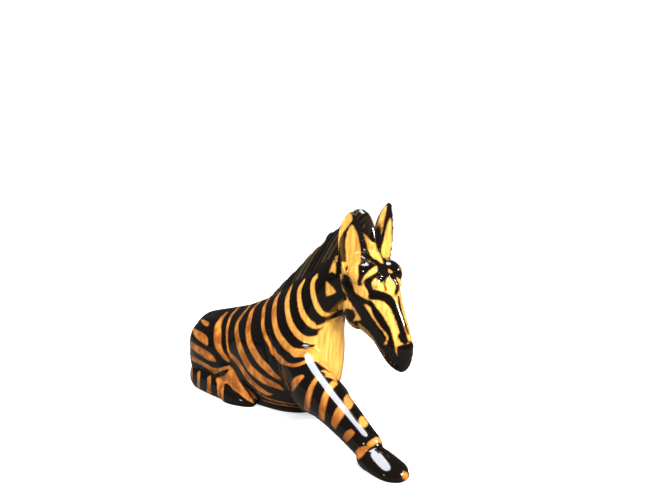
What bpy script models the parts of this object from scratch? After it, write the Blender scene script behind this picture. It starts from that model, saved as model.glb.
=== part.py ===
"""A carved wooden zebra lying down, its right foreleg stretched forward and its head held up.

The whole animal is one solid piece of wood. It faces +X, its left side is +Y and +Z is up.
The underside is cut flat, so that belly, hind legs and hoof stand on one plane.
"""

import math

import bmesh
import bpy
import numpy as np

LENGTH = 0.210  # from the tail to the toe of the stretched foreleg, in metres
SHARES = 210.0  # the carving tables below count this many shares to the length
SHARE = LENGTH / SHARES

# One share is about a millimetre at full size. Every table is in shares, from a point on the
# ground below the hocks, on the middle plane: x forward, y to the left, z up.

SKIN_GRAIN = 1.15  # size of the cells that fuse the carved forms into one skin
SANDING_PASSES = 3  # light smoothing, as by sandpaper after the knife
FACETS_KEPT = 9400  # triangles left on the finished solid
RING_SIDES = 36  # corners around each carved cross-section
RINGS_PER_SPAN = 6  # cross-sections between two neighbouring stations

# Trunk and neck: back x, z; underside x, z; half width; egg (above 0 is wider at the back);
# squareness (2 is an ellipse).
TRUNK = [
    (-14.0, 30.0, -14.0, 22.0, 3.0, 0.0, 2.0),
    (-12.0, 38.0, -13.0, 10.0, 12.0, -0.05, 2.2),
    (-7.0, 43.0, -8.0, 3.0, 17.0, -0.12, 2.3),
    (3.0, 46.2, 3.0, -1.0, 19.0, -0.12, 2.3),
    (15.0, 49.0, 16.0, -2.0, 18.0, -0.1, 2.3),
    (28.0, 52.0, 31.0, -2.0, 16.5, -0.1, 2.3),
    (42.0, 55.0, 48.0, -2.0, 17.0, -0.06, 2.2),
    (54.0, 58.0, 66.0, -1.8, 18.6, -0.02, 2.1),
    (64.0, 60.6, 84.0, -0.2, 18.6, 0.0, 2.1),
    (74.0, 64.0, 101.0, 3.6, 17.6, 0.0, 2.1),
    (85.0, 68.5, 114.0, 12.0, 16.4, 0.0, 2.1),
    (96.0, 73.5, 119.0, 25.0, 14.2, 0.0, 2.1),
    (107.0, 78.5, 119.6, 38.0, 11.6, 0.0, 2.0),
    (117.0, 83.0, 121.5, 50.0, 10.0, 0.0, 2.0),
    (127.0, 87.0, 129.5, 58.0, 9.2, 0.0, 2.0),
    (136.0, 89.0, 138.0, 64.0, 8.2, 0.0, 2.0),
    (141.0, 86.0, 143.0, 70.0, 4.0, 0.0, 2.0),
]

# Head: brow line x, z; jaw line x, z; half width; egg (above 0 is wider at the brow); squareness.
HEAD = [
    (137.0, 88.0, 134.0, 78.0, 3.0, 0.0, 2.0),
    (141.5, 90.0, 135.0, 65.0, 8.0, 0.05, 2.2),
    (148.0, 88.4, 138.0, 58.5, 10.4, 0.05, 2.4),
    (154.0, 82.6, 142.0, 54.2, 11.0, 0.08, 2.6),
    (158.6, 75.8, 146.8, 51.0, 11.0, 0.1, 2.7),
    (162.0, 69.3, 151.4, 48.4, 9.8, -0.06, 2.5),
    (165.0, 62.8, 155.8, 45.8, 8.5, -0.22, 2.3),
    (167.6, 56.4, 159.4, 41.8, 7.3, -0.25, 2.3),
    (169.8, 50.8, 162.2, 38.8, 6.5, -0.25, 2.4),
    (171.4, 46.4, 164.6, 36.8, 5.9, -0.2, 2.5),
    (172.2, 42.8, 166.8, 35.6, 5.2, -0.15, 2.4),
    (172.0, 39.6, 169.0, 35.4, 3.8, 0.0, 2.2),
    (171.2, 38.0, 170.0, 36.2, 1.6, 0.0, 2.0),
]

# Mane: top edge x, z; root x, z; half width; egg; squareness. It stands up between the ears.
MANE = [
    (55.0, 57.6, 57.0, 55.0, 1.6, 0.0, 2.6),
    (63.0, 60.8, 66.0, 56.0, 3.2, -0.1, 2.8),
    (75.0, 67.6, 80.0, 61.0, 4.2, -0.15, 2.8),
    (90.0, 77.0, 96.0, 67.0, 4.8, -0.2, 2.8),
    (104.0, 85.8, 112.0, 74.0, 5.0, -0.22, 2.8),
    (115.0, 91.6, 123.0, 79.0, 5.0, -0.24, 2.8),
    (126.0, 98.6, 131.0, 83.0, 4.8, -0.25, 2.8),
    (136.0, 105.8, 137.0, 86.0, 4.4, -0.25, 2.8),
    (144.5, 105.6, 142.0, 86.0, 4.0, -0.22, 2.8),
    (149.2, 99.0, 146.0, 86.0, 3.4, -0.2, 2.6),
    (151.6, 91.5, 149.0, 86.0, 2.4, -0.1, 2.4),
]
LOCKS = 20  # locks of hair carved on each side of the mane
LOCKS_FROM, LOCKS_TO = 0.08, 0.88  # shares of the mane's length that the locks fill
LOCK_LEAN = 2.1  # how far a lock's tip runs forward of its root
LOCK_RADIUS = 1.9  # at the thickest, half way up
LOCK_END_RADIUS = 0.8
LOCK_ROOT, LOCK_TIP = 0.25, 0.94  # where a lock starts and ends, as shares of the mane's height

# Limbs follow a centre line: x, y, z; half height; half width; squareness.
STRETCHED_LEG = [
    (98.0, -8.0, 33.0, 6.0, 4.0, 2.0),
    (105.0, -11.0, 31.0, 11.5, 8.0, 2.0),
    (115.0, -13.5, 28.0, 12.5, 10.0, 2.1),
    (126.0, -15.6, 23.8, 10.6, 9.6, 2.2),
    (137.0, -17.4, 20.0, 8.7, 8.4, 2.2),
    (148.0, -19.2, 16.4, 7.4, 7.4, 2.2),
    (159.0, -20.8, 12.6, 6.3, 6.4, 2.2),
    (168.0, -22.2, 9.2, 5.4, 5.6, 2.2),
    (174.5, -22.8, 6.8, 4.8, 5.2, 2.2),
    (178.0, -23.0, 5.6, 2.8, 3.0, 2.0),
]
STRETCHED_HOOF = [
    (170.5, -22.2, 4.6, 2.6, 3.0, 2.2),
    (173.5, -22.6, 4.8, 5.2, 5.4, 2.3),
    (178.5, -23.2, 4.4, 5.6, 7.0, 2.4),
    (184.0, -23.4, 3.4, 4.6, 7.2, 2.4),
    (189.5, -23.3, 2.4, 3.5, 6.4, 2.4),
    (193.0, -23.0, 1.5, 1.6, 3.0, 2.2),
]
FOLDED_FOREARM = [
    (84.0, 11.0, 22.0, 7.0, 5.0, 2.0),
    (90.0, 13.5, 17.0, 8.5, 6.5, 2.1),
    (99.0, 14.2, 12.0, 7.6, 6.4, 2.2),
    (107.0, 13.4, 9.2, 6.8, 6.2, 2.2),
    (113.0, 12.2, 7.8, 4.6, 4.4, 2.1),
]
FOLDED_FORE_CANNON = [
    (112.0, 13.2, 5.6, 3.6, 3.6, 2.1),
    (106.0, 15.6, 4.6, 4.6, 4.4, 2.2),
    (94.0, 18.0, 3.8, 4.4, 4.2, 2.2),
    (84.0, 19.0, 3.6, 4.2, 4.2, 2.2),
    (80.0, 19.2, 3.6, 4.8, 4.9, 2.3),
    (74.0, 19.0, 3.2, 3.9, 4.6, 2.3),
    (69.0, 18.6, 2.6, 2.2, 2.8, 2.2),
]
# The two hind legs are alike, the left one mirrored.
HIND_CANNON = [
    (-8.8, -11.4, 8.0, 3.0, 3.0, 2.1),
    (-6.4, -12.4, 7.8, 6.8, 5.4, 2.3),
    (2.0, -14.0, 7.0, 7.4, 6.2, 2.4),
    (16.0, -15.0, 6.4, 7.0, 6.0, 2.4),
    (30.0, -15.6, 6.0, 6.6, 5.6, 2.4),
    (41.0, -15.8, 5.4, 5.8, 5.2, 2.3),
    (44.0, -15.8, 5.2, 4.0, 4.0, 2.2),
]
HIND_HOOF = [
    (38.5, -16.0, 5.4, 2.6, 3.0, 2.2),
    (42.0, -16.0, 5.4, 6.0, 6.2, 2.4),
    (48.0, -15.6, 4.4, 5.6, 6.6, 2.4),
    (55.0, -14.4, 3.0, 4.0, 5.6, 2.4),
    (61.0, -13.0, 1.8, 2.4, 3.8, 2.3),
    (64.0, -12.2, 1.2, 1.0, 1.6, 2.2),
]
HIND_SHANK = [
    (26.0, -12.0, 20.0, 5.0, 4.0, 2.1),
    (36.0, -13.6, 17.0, 7.0, 6.0, 2.2),
    (46.0, -13.8, 14.5, 6.6, 5.8, 2.2),
    (55.0, -12.6, 9.6, 5.0, 5.0, 2.2),
    (61.0, -11.4, 5.0, 3.2, 3.4, 2.1),
]
TAIL = [
    (-6.0, 0.0, 42.0, 2.2, 2.6, 2.0),
    (-11.4, 0.4, 36.6, 2.8, 3.2, 2.0),
    (-13.6, 1.2, 27.0, 2.8, 3.2, 2.0),
    (-13.6, 2.6, 17.0, 3.1, 3.8, 2.0),
    (-12.2, 4.6, 8.0, 3.0, 4.0, 2.0),
    (-10.6, 5.8, 2.0, 1.8, 2.4, 2.0),
]

# Rounded masses: centre x, y, z and half sizes. Those off the middle plane are mirrored.
HAUNCH = ((16.5, -9.4, 28.0), (31.0, 13.6, 18.6))
SHOULDER_BLADE = ((97.0, -7.5, 36.0), (17.0, 9.4, 21.0))
CHEEK = ((146.4, -5.6, 62.0), (9.6, 5.4, 10.5))
EYE = ((156.6, -8.0, 73.0), (3.6, 2.6, 2.6))
BROW = ((152.8, -7.4, 77.4), (5.8, 4.6, 5.8))
NOSTRIL = ((169.4, -3.9, 46.0), (2.4, 1.9, 3.2))

# Ears: root and tip of the right ear. The left one stands taller and sharper.
EAR_ROOT = (147.0, -10.4, 78.0)
EAR_TIP = (149.0, -12.0, 105.0)
LEFT_EAR_GAIN = 5.4
EAR_OUTWARD_TURN = math.radians(12.0)
EAR_HOLLOW = 0.55  # how deep the front is dished, as a share of the ear's thickness
# Along the ear: share of its height; half width; thickness behind the rim.
EAR_PROFILE = [
    (0.0, 3.4, 4.0),
    (0.16, 4.8, 6.2),
    (0.36, 5.8, 7.4),
    (0.56, 5.9, 7.6),
    (0.76, 4.9, 6.2),
    (0.92, 2.7, 3.6),
    (1.0, 0.9, 1.4),
]


def curve_through(table, spans):
    """Points on one smooth curve through the rows of a table (Catmull-Rom), `spans` to a gap."""
    rows = np.array(table, float)
    padded = np.vstack([2 * rows[0] - rows[1], rows, 2 * rows[-1] - rows[-2]])
    share = np.linspace(0, len(rows) - 1, (len(rows) - 1) * spans + 1)
    index = np.minimum(share.astype(int), len(rows) - 2)
    t = (share - index)[:, None]
    before, start, end, after = (padded[index + k] for k in range(4))
    return 0.5 * (
        2 * start
        + (end - before) * t
        + (2 * before - 5 * start + 4 * end - after) * t**2
        + (3 * start - before - 3 * end + after) * t**3
    )


def rounded(values, squareness):
    """Bends a circle's sines or cosines towards a square, as a superellipse does."""
    return np.sign(values) * np.abs(values) ** (2 / squareness)


def skin(name, rings):
    """A closed mesh over a row of rings, with a fan over each end."""
    count, sides, _ = rings.shape
    points = np.vstack([rings.reshape(-1, 3), rings[0].mean(0), rings[-1].mean(0)])
    faces = []
    for ring in range(count - 1):
        for side in range(sides):
            a = ring * sides + side
            b = ring * sides + (side + 1) % sides
            faces.append((a, b, b + sides, a + sides))
    for side in range(sides):
        following = (side + 1) % sides
        last = (count - 1) * sides
        faces.append((following, side, count * sides))
        faces.append((last + side, last + following, count * sides + 1))
    mesh = bpy.data.meshes.new(name)
    mesh.from_pydata((points * SHARE).tolist(), [], faces)
    return mesh


def loft(name, table):
    """A form between an upper and a lower line in the side view, with a half width at each station."""
    rows = curve_through(table, RINGS_PER_SPAN)
    angle = np.linspace(0, 2 * math.pi, RING_SIDES, endpoint=False)
    top_x, top_z, low_x, low_z, half_width, egg, squareness = (rows[:, k, None] for k in range(7))
    lift = rounded(np.cos(angle), squareness)
    spread = rounded(np.sin(angle), squareness) * (1 + egg * np.cos(angle))
    rings = np.stack(
        [
            (top_x + low_x) / 2 + (top_x - low_x) / 2 * lift,
            half_width * spread,
            (top_z + low_z) / 2 + (top_z - low_z) / 2 * lift,
        ],
        axis=2,
    )
    return skin(name, rings)


def limb(name, table, mirrored=False):
    """A tube along a centre line, its sections square to the line and upright."""
    rows = curve_through(table, RINGS_PER_SPAN)
    centre = rows[:, :3] * (1, -1 if mirrored else 1, 1)
    along = np.gradient(centre, axis=0)
    along /= np.linalg.norm(along, axis=1, keepdims=True)
    across = np.cross((0.0, 0.0, 1.0), along)
    steep = np.linalg.norm(across, axis=1, keepdims=True) < 0.5
    across = np.where(steep, (0.0, 1.0, 0.0), across)
    across /= np.linalg.norm(across, axis=1, keepdims=True)
    upward = np.cross(along, across)
    angle = np.linspace(0, 2 * math.pi, RING_SIDES, endpoint=False)
    lift = rounded(np.cos(angle), rows[:, 5, None]) * rows[:, 3, None]
    spread = rounded(np.sin(angle), rows[:, 5, None]) * rows[:, 4, None]
    rings = centre[:, None] + lift[..., None] * upward[:, None] + spread[..., None] * across[:, None]
    return skin(name, rings)


def ear(name, side):
    """A leaf standing on its root, dished in front and ridged behind; side is -1 right, 1 left."""
    rows = curve_through(EAR_PROFILE, RINGS_PER_SPAN)
    root = np.array(EAR_ROOT) * (1, -side, 1)
    tip = np.array(EAR_TIP) * (1, -side, 1)
    tip[2] += LEFT_EAR_GAIN if side > 0 else 0.0
    front = np.array((math.cos(EAR_OUTWARD_TURN), side * math.sin(EAR_OUTWARD_TURN), 0.0))
    across = np.cross((0.0, 0.0, 1.0), front)
    angle = np.linspace(0, 2 * math.pi, RING_SIDES, endpoint=False)
    depth = np.where(np.cos(angle) > 0, -EAR_HOLLOW * np.cos(angle) ** 2, np.cos(angle))
    rings = (
        (root + rows[:, 0, None] * (tip - root))[:, None]
        + (rows[:, 1, None] * np.sin(angle))[..., None] * across
        + (rows[:, 2, None] * depth)[..., None] * front
    )
    return skin(name, rings)


def mass(name, centre, half_sizes, side):
    """An ellipsoid half sunk in its neighbours."""
    mesh = bpy.data.meshes.new(name)
    form = bmesh.new()
    bmesh.ops.create_uvsphere(form, u_segments=RING_SIDES, v_segments=RING_SIDES // 2, radius=SHARE)
    bmesh.ops.scale(form, vec=half_sizes, verts=form.verts)
    middle = (centre[0] * SHARE, -side * centre[1] * SHARE, centre[2] * SHARE)
    bmesh.ops.translate(form, vec=middle, verts=form.verts)
    form.to_mesh(mesh)
    form.free()
    return mesh


def lock(name, share, side):
    """One slanted lock on a side of the mane, at a share of the mane's length."""
    rows = curve_through(MANE, RINGS_PER_SPAN)
    top_x, top_z, low_x, low_z, half_width = rows[round(share * (len(rows) - 1))][:5]
    low = np.array((low_x, low_z))
    top = np.array((top_x, top_z))
    root = low + LOCK_ROOT * (top - low)
    tip = low + LOCK_TIP * (top - low) + (LOCK_LEAN, 0.0)
    middle = (root + tip) / 2
    table = [
        (root[0], side * half_width * 0.95, root[1], LOCK_END_RADIUS, LOCK_END_RADIUS, 2.0),
        (middle[0], side * half_width * 0.86, middle[1], LOCK_RADIUS, LOCK_RADIUS, 2.0),
        (tip[0], side * half_width * 0.5, tip[1], LOCK_END_RADIUS, LOCK_END_RADIUS, 2.0),
    ]
    return limb(name, table)


def forms():
    """Every carved form of the animal, as closed meshes that run into each other."""
    made = [
        loft("trunk", TRUNK),
        loft("head", HEAD),
        loft("mane", MANE),
        limb("stretched_leg", STRETCHED_LEG),
        limb("stretched_hoof", STRETCHED_HOOF),
        limb("folded_forearm", FOLDED_FOREARM),
        limb("folded_fore_cannon", FOLDED_FORE_CANNON),
        limb("tail", TAIL),
    ]
    for side in (-1, 1):
        left = side > 0
        made.append(limb("hind_cannon", HIND_CANNON, left))
        made.append(limb("hind_hoof", HIND_HOOF, left))
        made.append(limb("hind_shank", HIND_SHANK, left))
        made.append(ear("ear", side))
        for centre, half_sizes in (HAUNCH, SHOULDER_BLADE, CHEEK, EYE, BROW, NOSTRIL):
            made.append(mass("mass", centre, half_sizes, side))
        for share in np.linspace(LOCKS_FROM, LOCKS_TO, LOCKS):
            made.append(lock("lock", share, side))
    return made


def joined(name, meshes):
    """One object that holds all the meshes, and the meshes removed."""
    whole = bmesh.new()
    for mesh in meshes:
        whole.from_mesh(mesh)
        bpy.data.meshes.remove(mesh)
    bmesh.ops.recalc_face_normals(whole, faces=whole.faces)
    mesh = bpy.data.meshes.new(name)
    whole.to_mesh(mesh)
    whole.free()
    obj = bpy.data.objects.new(name, mesh)
    bpy.context.scene.collection.objects.link(obj)
    return obj


def settled(obj):
    """Replaces the object's mesh by what its modifiers make of it."""
    bpy.context.view_layer.update()
    graph = bpy.context.evaluated_depsgraph_get()
    mesh = bpy.data.meshes.new_from_object(obj.evaluated_get(graph))
    obj.modifiers.clear()
    obj.data = mesh
    return obj


def fuse(obj):
    """Turns the overlapping forms into one closed skin, sands it and keeps few facets."""
    remesh = obj.modifiers.new("one_skin", "REMESH")
    remesh.mode = "VOXEL"
    remesh.voxel_size = SKIN_GRAIN * SHARE
    smooth = obj.modifiers.new("sanding", "SMOOTH")
    smooth.factor = 0.5
    smooth.iterations = SANDING_PASSES
    settled(obj)
    obj.data.calc_loop_triangles()
    decimate = obj.modifiers.new("facets", "DECIMATE")
    decimate.ratio = FACETS_KEPT / len(obj.data.loop_triangles)
    return settled(obj)


def cut_flat(obj):
    """Takes off what is below the ground, which leaves the flat underside it stands on."""
    depth = 0.2 * LENGTH
    bpy.ops.mesh.primitive_cube_add(size=1)
    ground = bpy.context.object
    ground.name = "ground_cutter"
    ground.dimensions = (4 * LENGTH, 4 * LENGTH, depth)
    ground.location = (0, 0, -depth / 2)
    ground.hide_render = True
    ground.display_type = "WIRE"
    cut = obj.modifiers.new("flat_underside", "BOOLEAN")
    cut.operation = "DIFFERENCE"
    cut.solver = "EXACT"
    cut.object = ground
    settled(obj)
    bpy.data.objects.remove(ground)
    return obj


def centre_on_footprint(obj):
    """Moves the mesh so that the origin is below the middle of the object, on the ground."""
    points = np.array([v.co for v in obj.data.vertices])
    middle = (points.min(0) + points.max(0)) / 2
    for vertex in obj.data.vertices:
        vertex.co.x -= middle[0]
        vertex.co.y -= middle[1]


def varnished_wood():
    material = bpy.data.materials.new("varnished_wood")
    material.use_nodes = True
    shader = material.node_tree.nodes["Principled BSDF"]
    shader.inputs["Base Color"].default_value = (0.72, 0.33, 0.07, 1)
    shader.inputs["Roughness"].default_value = 0.25
    shader.inputs["Metallic"].default_value = 0.0
    return material


def main():
    for obj in list(bpy.data.objects):
        bpy.data.objects.remove(obj)
    zebra = joined("zebra", forms())
    fuse(zebra)
    cut_flat(zebra)
    centre_on_footprint(zebra)
    zebra.data.materials.append(varnished_wood())
    zebra.data.shade_smooth()
    zebra.data.set_sharp_from_angle(angle=math.radians(50))
    group = bpy.data.collections.new("zebra_figurine")
    bpy.context.scene.collection.children.link(group)
    bpy.context.scene.collection.objects.unlink(zebra)
    group.objects.link(zebra)


main()
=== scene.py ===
"""The looks of a carved wooden zebra lying down: its fine carving, painted stripes and varnish.

All sizes are in millimetres from a point on the ground below the hocks, on the middle plane:
x forward, y to the animal's left, z up. The mesh turns to metres, with its middle over the
origin, when it is finished. A mark seen in the photograph is given by its place in the
650 x 488 frame, and is carried along the camera's rays onto the carved surface.
"""

import math

import bpy
import numpy as np
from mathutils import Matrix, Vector
from mathutils.bvhtree import BVHTree


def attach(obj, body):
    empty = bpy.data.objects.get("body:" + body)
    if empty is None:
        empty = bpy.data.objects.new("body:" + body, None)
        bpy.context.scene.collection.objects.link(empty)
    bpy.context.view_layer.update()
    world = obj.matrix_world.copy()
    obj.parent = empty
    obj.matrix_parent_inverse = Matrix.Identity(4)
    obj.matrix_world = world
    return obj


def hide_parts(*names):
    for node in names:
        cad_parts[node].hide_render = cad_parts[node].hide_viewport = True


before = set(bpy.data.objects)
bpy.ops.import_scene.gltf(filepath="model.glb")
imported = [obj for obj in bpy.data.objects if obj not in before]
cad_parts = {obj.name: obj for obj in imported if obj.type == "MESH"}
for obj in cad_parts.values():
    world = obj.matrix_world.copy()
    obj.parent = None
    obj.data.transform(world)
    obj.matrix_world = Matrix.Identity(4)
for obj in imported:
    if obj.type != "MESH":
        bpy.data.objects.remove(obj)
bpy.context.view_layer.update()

MM = 0.001
FOOTPRINT_MIDDLE = (88.37, -3.26)  # middle of the figure's length and width

# The photograph's view
CAMERA = (368.0, -190.0, 90.5)
CAMERA_TURN = math.radians(53.3)  # from looking along +Y towards -X
FRAME_SIZE = (650, 488)
LENS, SENSOR = 35.0, 36.0
PIXELS_TO_DEPTH = FRAME_SIZE[0] * LENS / SENSOR  # a pixel is depth / this, sideways

# Fine carving
SKIN_GRAIN = 0.5  # size of the cells that fuse the carved forms into one skin
MOST_TRIANGLES = 186000
RING_SIDES = 72
RINGS_PER_SPAN = 12
STRAND_WIDTH = 3.6  # from one carved strand of the mane to the next
STRAND_DEPTH = 1.0
STRAND_LEAN = 0.85  # how far a strand runs forward as it rises by one
STRAND_ROUNDNESS = 0.7  # below 1 fills a strand out between its two cuts
STRAND_SUNK = 0.7  # the share of a strand's depth that lies under the mane's own skin
STRANDS_TO_A_CUT = 4.3  # from one deeper cut to the next
MANE_FRONT, MANE_FADE = 148.0, 10.0  # where the strands end, and over what length
CREST_RELIEF = 1.1  # the relief on the mane's top edge for that on its sides
POLE_GAP = 0.03  # radians left to the fans that close a rounded mass
GROUND_BLOCK = (800.0, 800.0, 60.0)  # what cuts the underside flat

# How marks lie on the skin
FAR_OUTSIDE = -9.0  # the distance that stands for not being near a mark
STROKE_FADE = 6.0  # taken off a stroke where the skin turns away from it
OUTLINE_FADE = 12.0  # taken off an outline where the skin turns away from the camera
STROKE_TURN, OUTLINE_TURN = 0.1, 0.12  # cosines at which the two begin to fade
UNSEEN_TURN, JAW_TURN = 0.08, 0.3  # the same for marks that keep out of the camera's sight
STRETCH_LIMITS = (0.7, 2.2)  # how far slanting skin may narrow or widen a stroke
SEARCH_DEPTHS = range(220, 440, 4)  # where a ray that misses looks for the nearest skin
RING_SPANS, RING_REACH, RING_POINTS = 10, 8.0, 25  # steps to a gap, how far out they look, places
MOST_PAINT_DISTANCE = 3.0  # distances from the paint's edge are kept up to this
UNDERSIDE_BARE = 0.25  # up to this height the cut underside shows bare wood
SEEN_SIDE, BOTH_SIDES = (0,), (0, 1)  # a mark as photographed, or its mirror image too

# Trunk and neck: back x, z; underside x, z; half width; egg (above 0 is wider at the back);
# squareness (2 is an ellipse).
TRUNK = [
    (-14.6, 32, -14.6, 22, 3, 0, 2),
    (-12.8, 41, -13.6, 10, 12.4, -0.05, 2.2),
    (-8, 46.4, -8.4, 3, 17.4, -0.12, 2.3),
    (3, 48.8, 3, -1, 19, -0.12, 2.3),
    (15, 50.6, 16, -2, 18, -0.1, 2.3),
    (28, 52.7, 31, -2, 16.5, -0.1, 2.3),
    (42, 55, 48, -2, 17, -0.06, 2.2),
    (54, 58, 66, -1.8, 18.6, -0.02, 2.1),
    (64, 60.6, 84, -0.2, 18.6, 0, 2.1),
    (74, 64, 101, 3.6, 17.6, 0, 2.1),
    (85, 68.5, 114, 12, 16.4, 0, 2.1),
    (96, 73.5, 119, 25, 14.2, 0, 2.1),
    (107, 78.5, 119.6, 38, 11.6, 0, 2),
    (117, 83, 121.5, 50, 10, 0, 2),
    (127, 87, 129.5, 58, 9.2, 0, 2),
    (136, 89, 138, 64, 8.2, 0, 2),
    (141, 86, 143, 70, 4, 0, 2),
]

# Head: brow line x, z; jaw line x, z; half width; egg (above 0 is wider at the brow); squareness.
HEAD = [
    (137, 88, 134, 78, 3, 0, 2),
    (141.5, 90, 135, 65, 8, 0.05, 2.2),
    (148, 88.4, 138, 58.5, 10.4, 0.05, 2.4),
    (154, 82.6, 142, 54.2, 11, 0.08, 2.6),
    (158.6, 75.8, 146.8, 51, 11, 0.1, 2.7),
    (162.8, 69.3, 151.4, 48.4, 9.9, -0.06, 2.2),
    (166.6, 62.8, 155.8, 45.8, 8.9, -0.16, 2),
    (169.9, 56.4, 159.4, 41.8, 7.8, -0.2, 1.95),
    (172, 50.8, 162.2, 38.8, 6.8, -0.2, 2),
    (173, 46.2, 164.6, 36.8, 5.9, -0.15, 2),
    (172.9, 42.2, 166.8, 35.4, 4.4, -0.1, 1.9),
    (171.6, 38.4, 168.8, 34.8, 2.4, 0, 1.8),
    (170.2, 36.2, 169.2, 35.2, 1, 0, 1.8),
]

# Mane: top edge x, z; root x, z; half width; egg; squareness. It stands up between the ears.
MANE = [
    (55, 57.6, 57, 55, 1.6, 0, 2.6),
    (63, 60.8, 66, 56, 3.2, -0.1, 2.8),
    (75, 67.6, 80, 61, 4.2, -0.15, 2.8),
    (90, 77, 96, 67, 4.8, -0.2, 2.8),
    (104, 85.8, 112, 74, 5, -0.22, 2.8),
    (114.6, 91.4, 123, 79, 5, -0.24, 2.8),
    (118.4, 95.4, 126, 80.6, 5, -0.24, 2.8),
    (126, 98.6, 131, 83, 4.8, -0.25, 2.8),
    (136, 105.8, 137, 86, 4.4, -0.25, 2.8),
    (144.5, 105.6, 142, 86, 4, -0.22, 2.8),
    (149.2, 99, 146, 86, 3.4, -0.2, 2.6),
    (151.6, 91.5, 149, 86, 2.4, -0.1, 2.4),
]

# Limbs follow a centre line: x, y, z; half height; half width; squareness.
STRETCHED_LEG = [
    (92, -6, 33, 9, 8, 2),
    (101, -8.6, 30.4, 12, 9.4, 2),
    (109, -11.2, 27.4, 13.8, 9.8, 2),
    (117.2, -13.5, 25.3, 14.8, 10, 2.1),
    (126, -15.6, 23, 12.9, 9.9, 2.1),
    (137, -17.4, 20.4, 10.2, 8.8, 2.1),
    (148, -19.2, 17.2, 8.4, 7.8, 2.1),
    (159, -20.8, 13.6, 7.3, 6.8, 2.1),
    (168, -22.2, 10.4, 6.5, 6, 2.1),
    (174.5, -22.8, 7.8, 5.7, 5.5, 2.1),
    (178, -23, 6.2, 3, 3.2, 2),
]
STRETCHED_HOOF = [
    (170.5, -22.2, 4.6, 2.6, 3, 2.2),
    (173, -22.8, 4.4, 4.8, 5.6, 2),
    (178.5, -22.9, 4.2, 5.6, 7.4, 1.6),
    (184, -22.9, 3.2, 5, 7.6, 1.6),
    (189.5, -22.9, 2.3, 3.7, 6.8, 1.75),
    (193.6, -22.4, 1.4, 1.6, 3.4, 2.1),
]
FOLDED_FOREARM = [
    (84, 11, 22, 7, 5, 2),
    (90, 13.5, 17, 8.5, 6.5, 2.1),
    (99, 14.2, 12, 7.6, 6.4, 2.2),
    (107, 13.4, 9.2, 6.8, 6.2, 2.2),
    (113, 12.2, 7.8, 4.6, 4.4, 2.1),
]
FOLDED_FORE_CANNON = [
    (112, 13.2, 5.6, 3.6, 3.6, 2.1),
    (106, 15.6, 4.6, 4.6, 4.4, 2.2),
    (94, 18, 3.8, 4.4, 4.2, 2.2),
    (84, 19, 3.6, 4.2, 4.2, 2.2),
    (80, 19.2, 3.6, 4.8, 4.9, 2.3),
    (74, 19, 3.2, 3.9, 4.6, 2.3),
    (69, 18.6, 2.6, 2.2, 2.8, 2.2),
]
# The two hind legs are alike, the left one mirrored.
HIND_CANNON = [
    (-8.8, -11.4, 8, 3, 3, 2.1),
    (-6.4, -12.4, 7.8, 6.8, 5.4, 2.3),
    (2, -14, 7, 7.4, 6.2, 2.4),
    (16, -15, 6.4, 7, 6, 2.4),
    (30, -15.6, 6, 6.6, 5.6, 2.4),
    (41, -15.8, 5.4, 5.8, 5.2, 2.3),
    (44, -15.8, 5.2, 4, 4, 2.2),
]
HIND_HOOF = [
    (38.5, -16, 5.4, 2.6, 3, 2.2),
    (42, -16, 5.4, 6, 6.2, 2.4),
    (48, -15.6, 4.4, 5.6, 6.6, 2.4),
    (55, -14.4, 3, 4, 5.6, 2.4),
    (61, -13, 1.8, 2.4, 3.8, 2.3),
    (64, -12.2, 1.2, 1, 1.6, 2.2),
]
HIND_SHANK = [
    (26, -12, 20, 5, 4, 2.1),
    (36, -13.6, 17, 7, 6, 2.2),
    (46, -13.8, 14.5, 6.6, 5.8, 2.2),
    (55, -12.6, 9.6, 5, 5, 2.2),
    (61, -11.4, 5, 3.2, 3.4, 2.1),
]
TAIL = [
    (-6, 0, 42, 2.2, 2.6, 2),
    (-11.4, 0.4, 36.6, 2.8, 3.2, 2),
    (-13.6, 1.2, 27, 2.8, 3.2, 2),
    (-13.6, 2.6, 17, 3.1, 3.8, 2),
    (-12.2, 4.6, 8, 3, 4, 2),
    (-10.6, 5.8, 2, 1.8, 2.4, 2),
]

# Rounded masses: centre x, y, z and half sizes, mirrored to the left side.
HAUNCH = ((16.5, -9.4, 28.0), (31.0, 13.6, 18.6))
SHOULDER_BLADE = ((97.0, -7.5, 35.0), (17.0, 9.4, 21.5))
CHEEK = ((146.4, -5.6, 62.0), (9.6, 5.4, 10.5))
EYE = ((157.0, -7.2, 72.8), (4.0, 2.2, 2.1))
BROW = ((151.2, -6.8, 77.0), (8.8, 5.9, 6.6))
NOSTRIL = ((169.6, -4.2, 46.0), (1.8, 1.3, 2.4))

SHOULDER_JOIN = ((104.0, -16.0, 28.0), (17.0, 14.0, 24.0))  # middle and half sizes of the blended skin

# Ears: root and tip of the right ear. The left one stands taller and sharper.
EAR_ROOT = (147.0, -10.4, 78.0)
EAR_TIP = (149.0, -12.0, 105.0)
LEFT_EAR_GAIN = 5.4
EAR_OUTWARD_TURN = math.radians(20.0)
EAR_HOLLOW = 0.55  # how deep the front is dished, as a share of the ear's thickness
# Along the ear: share of its height; half width; thickness behind the rim.
EAR_PROFILE = [
    (0.0, 3.4, 4.0),
    (0.16, 4.8, 6.2),
    (0.36, 5.8, 7.4),
    (0.56, 5.9, 7.6),
    (0.76, 4.9, 6.2),
    (0.92, 2.7, 3.6),
    (1.0, 0.9, 1.4),
]


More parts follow.
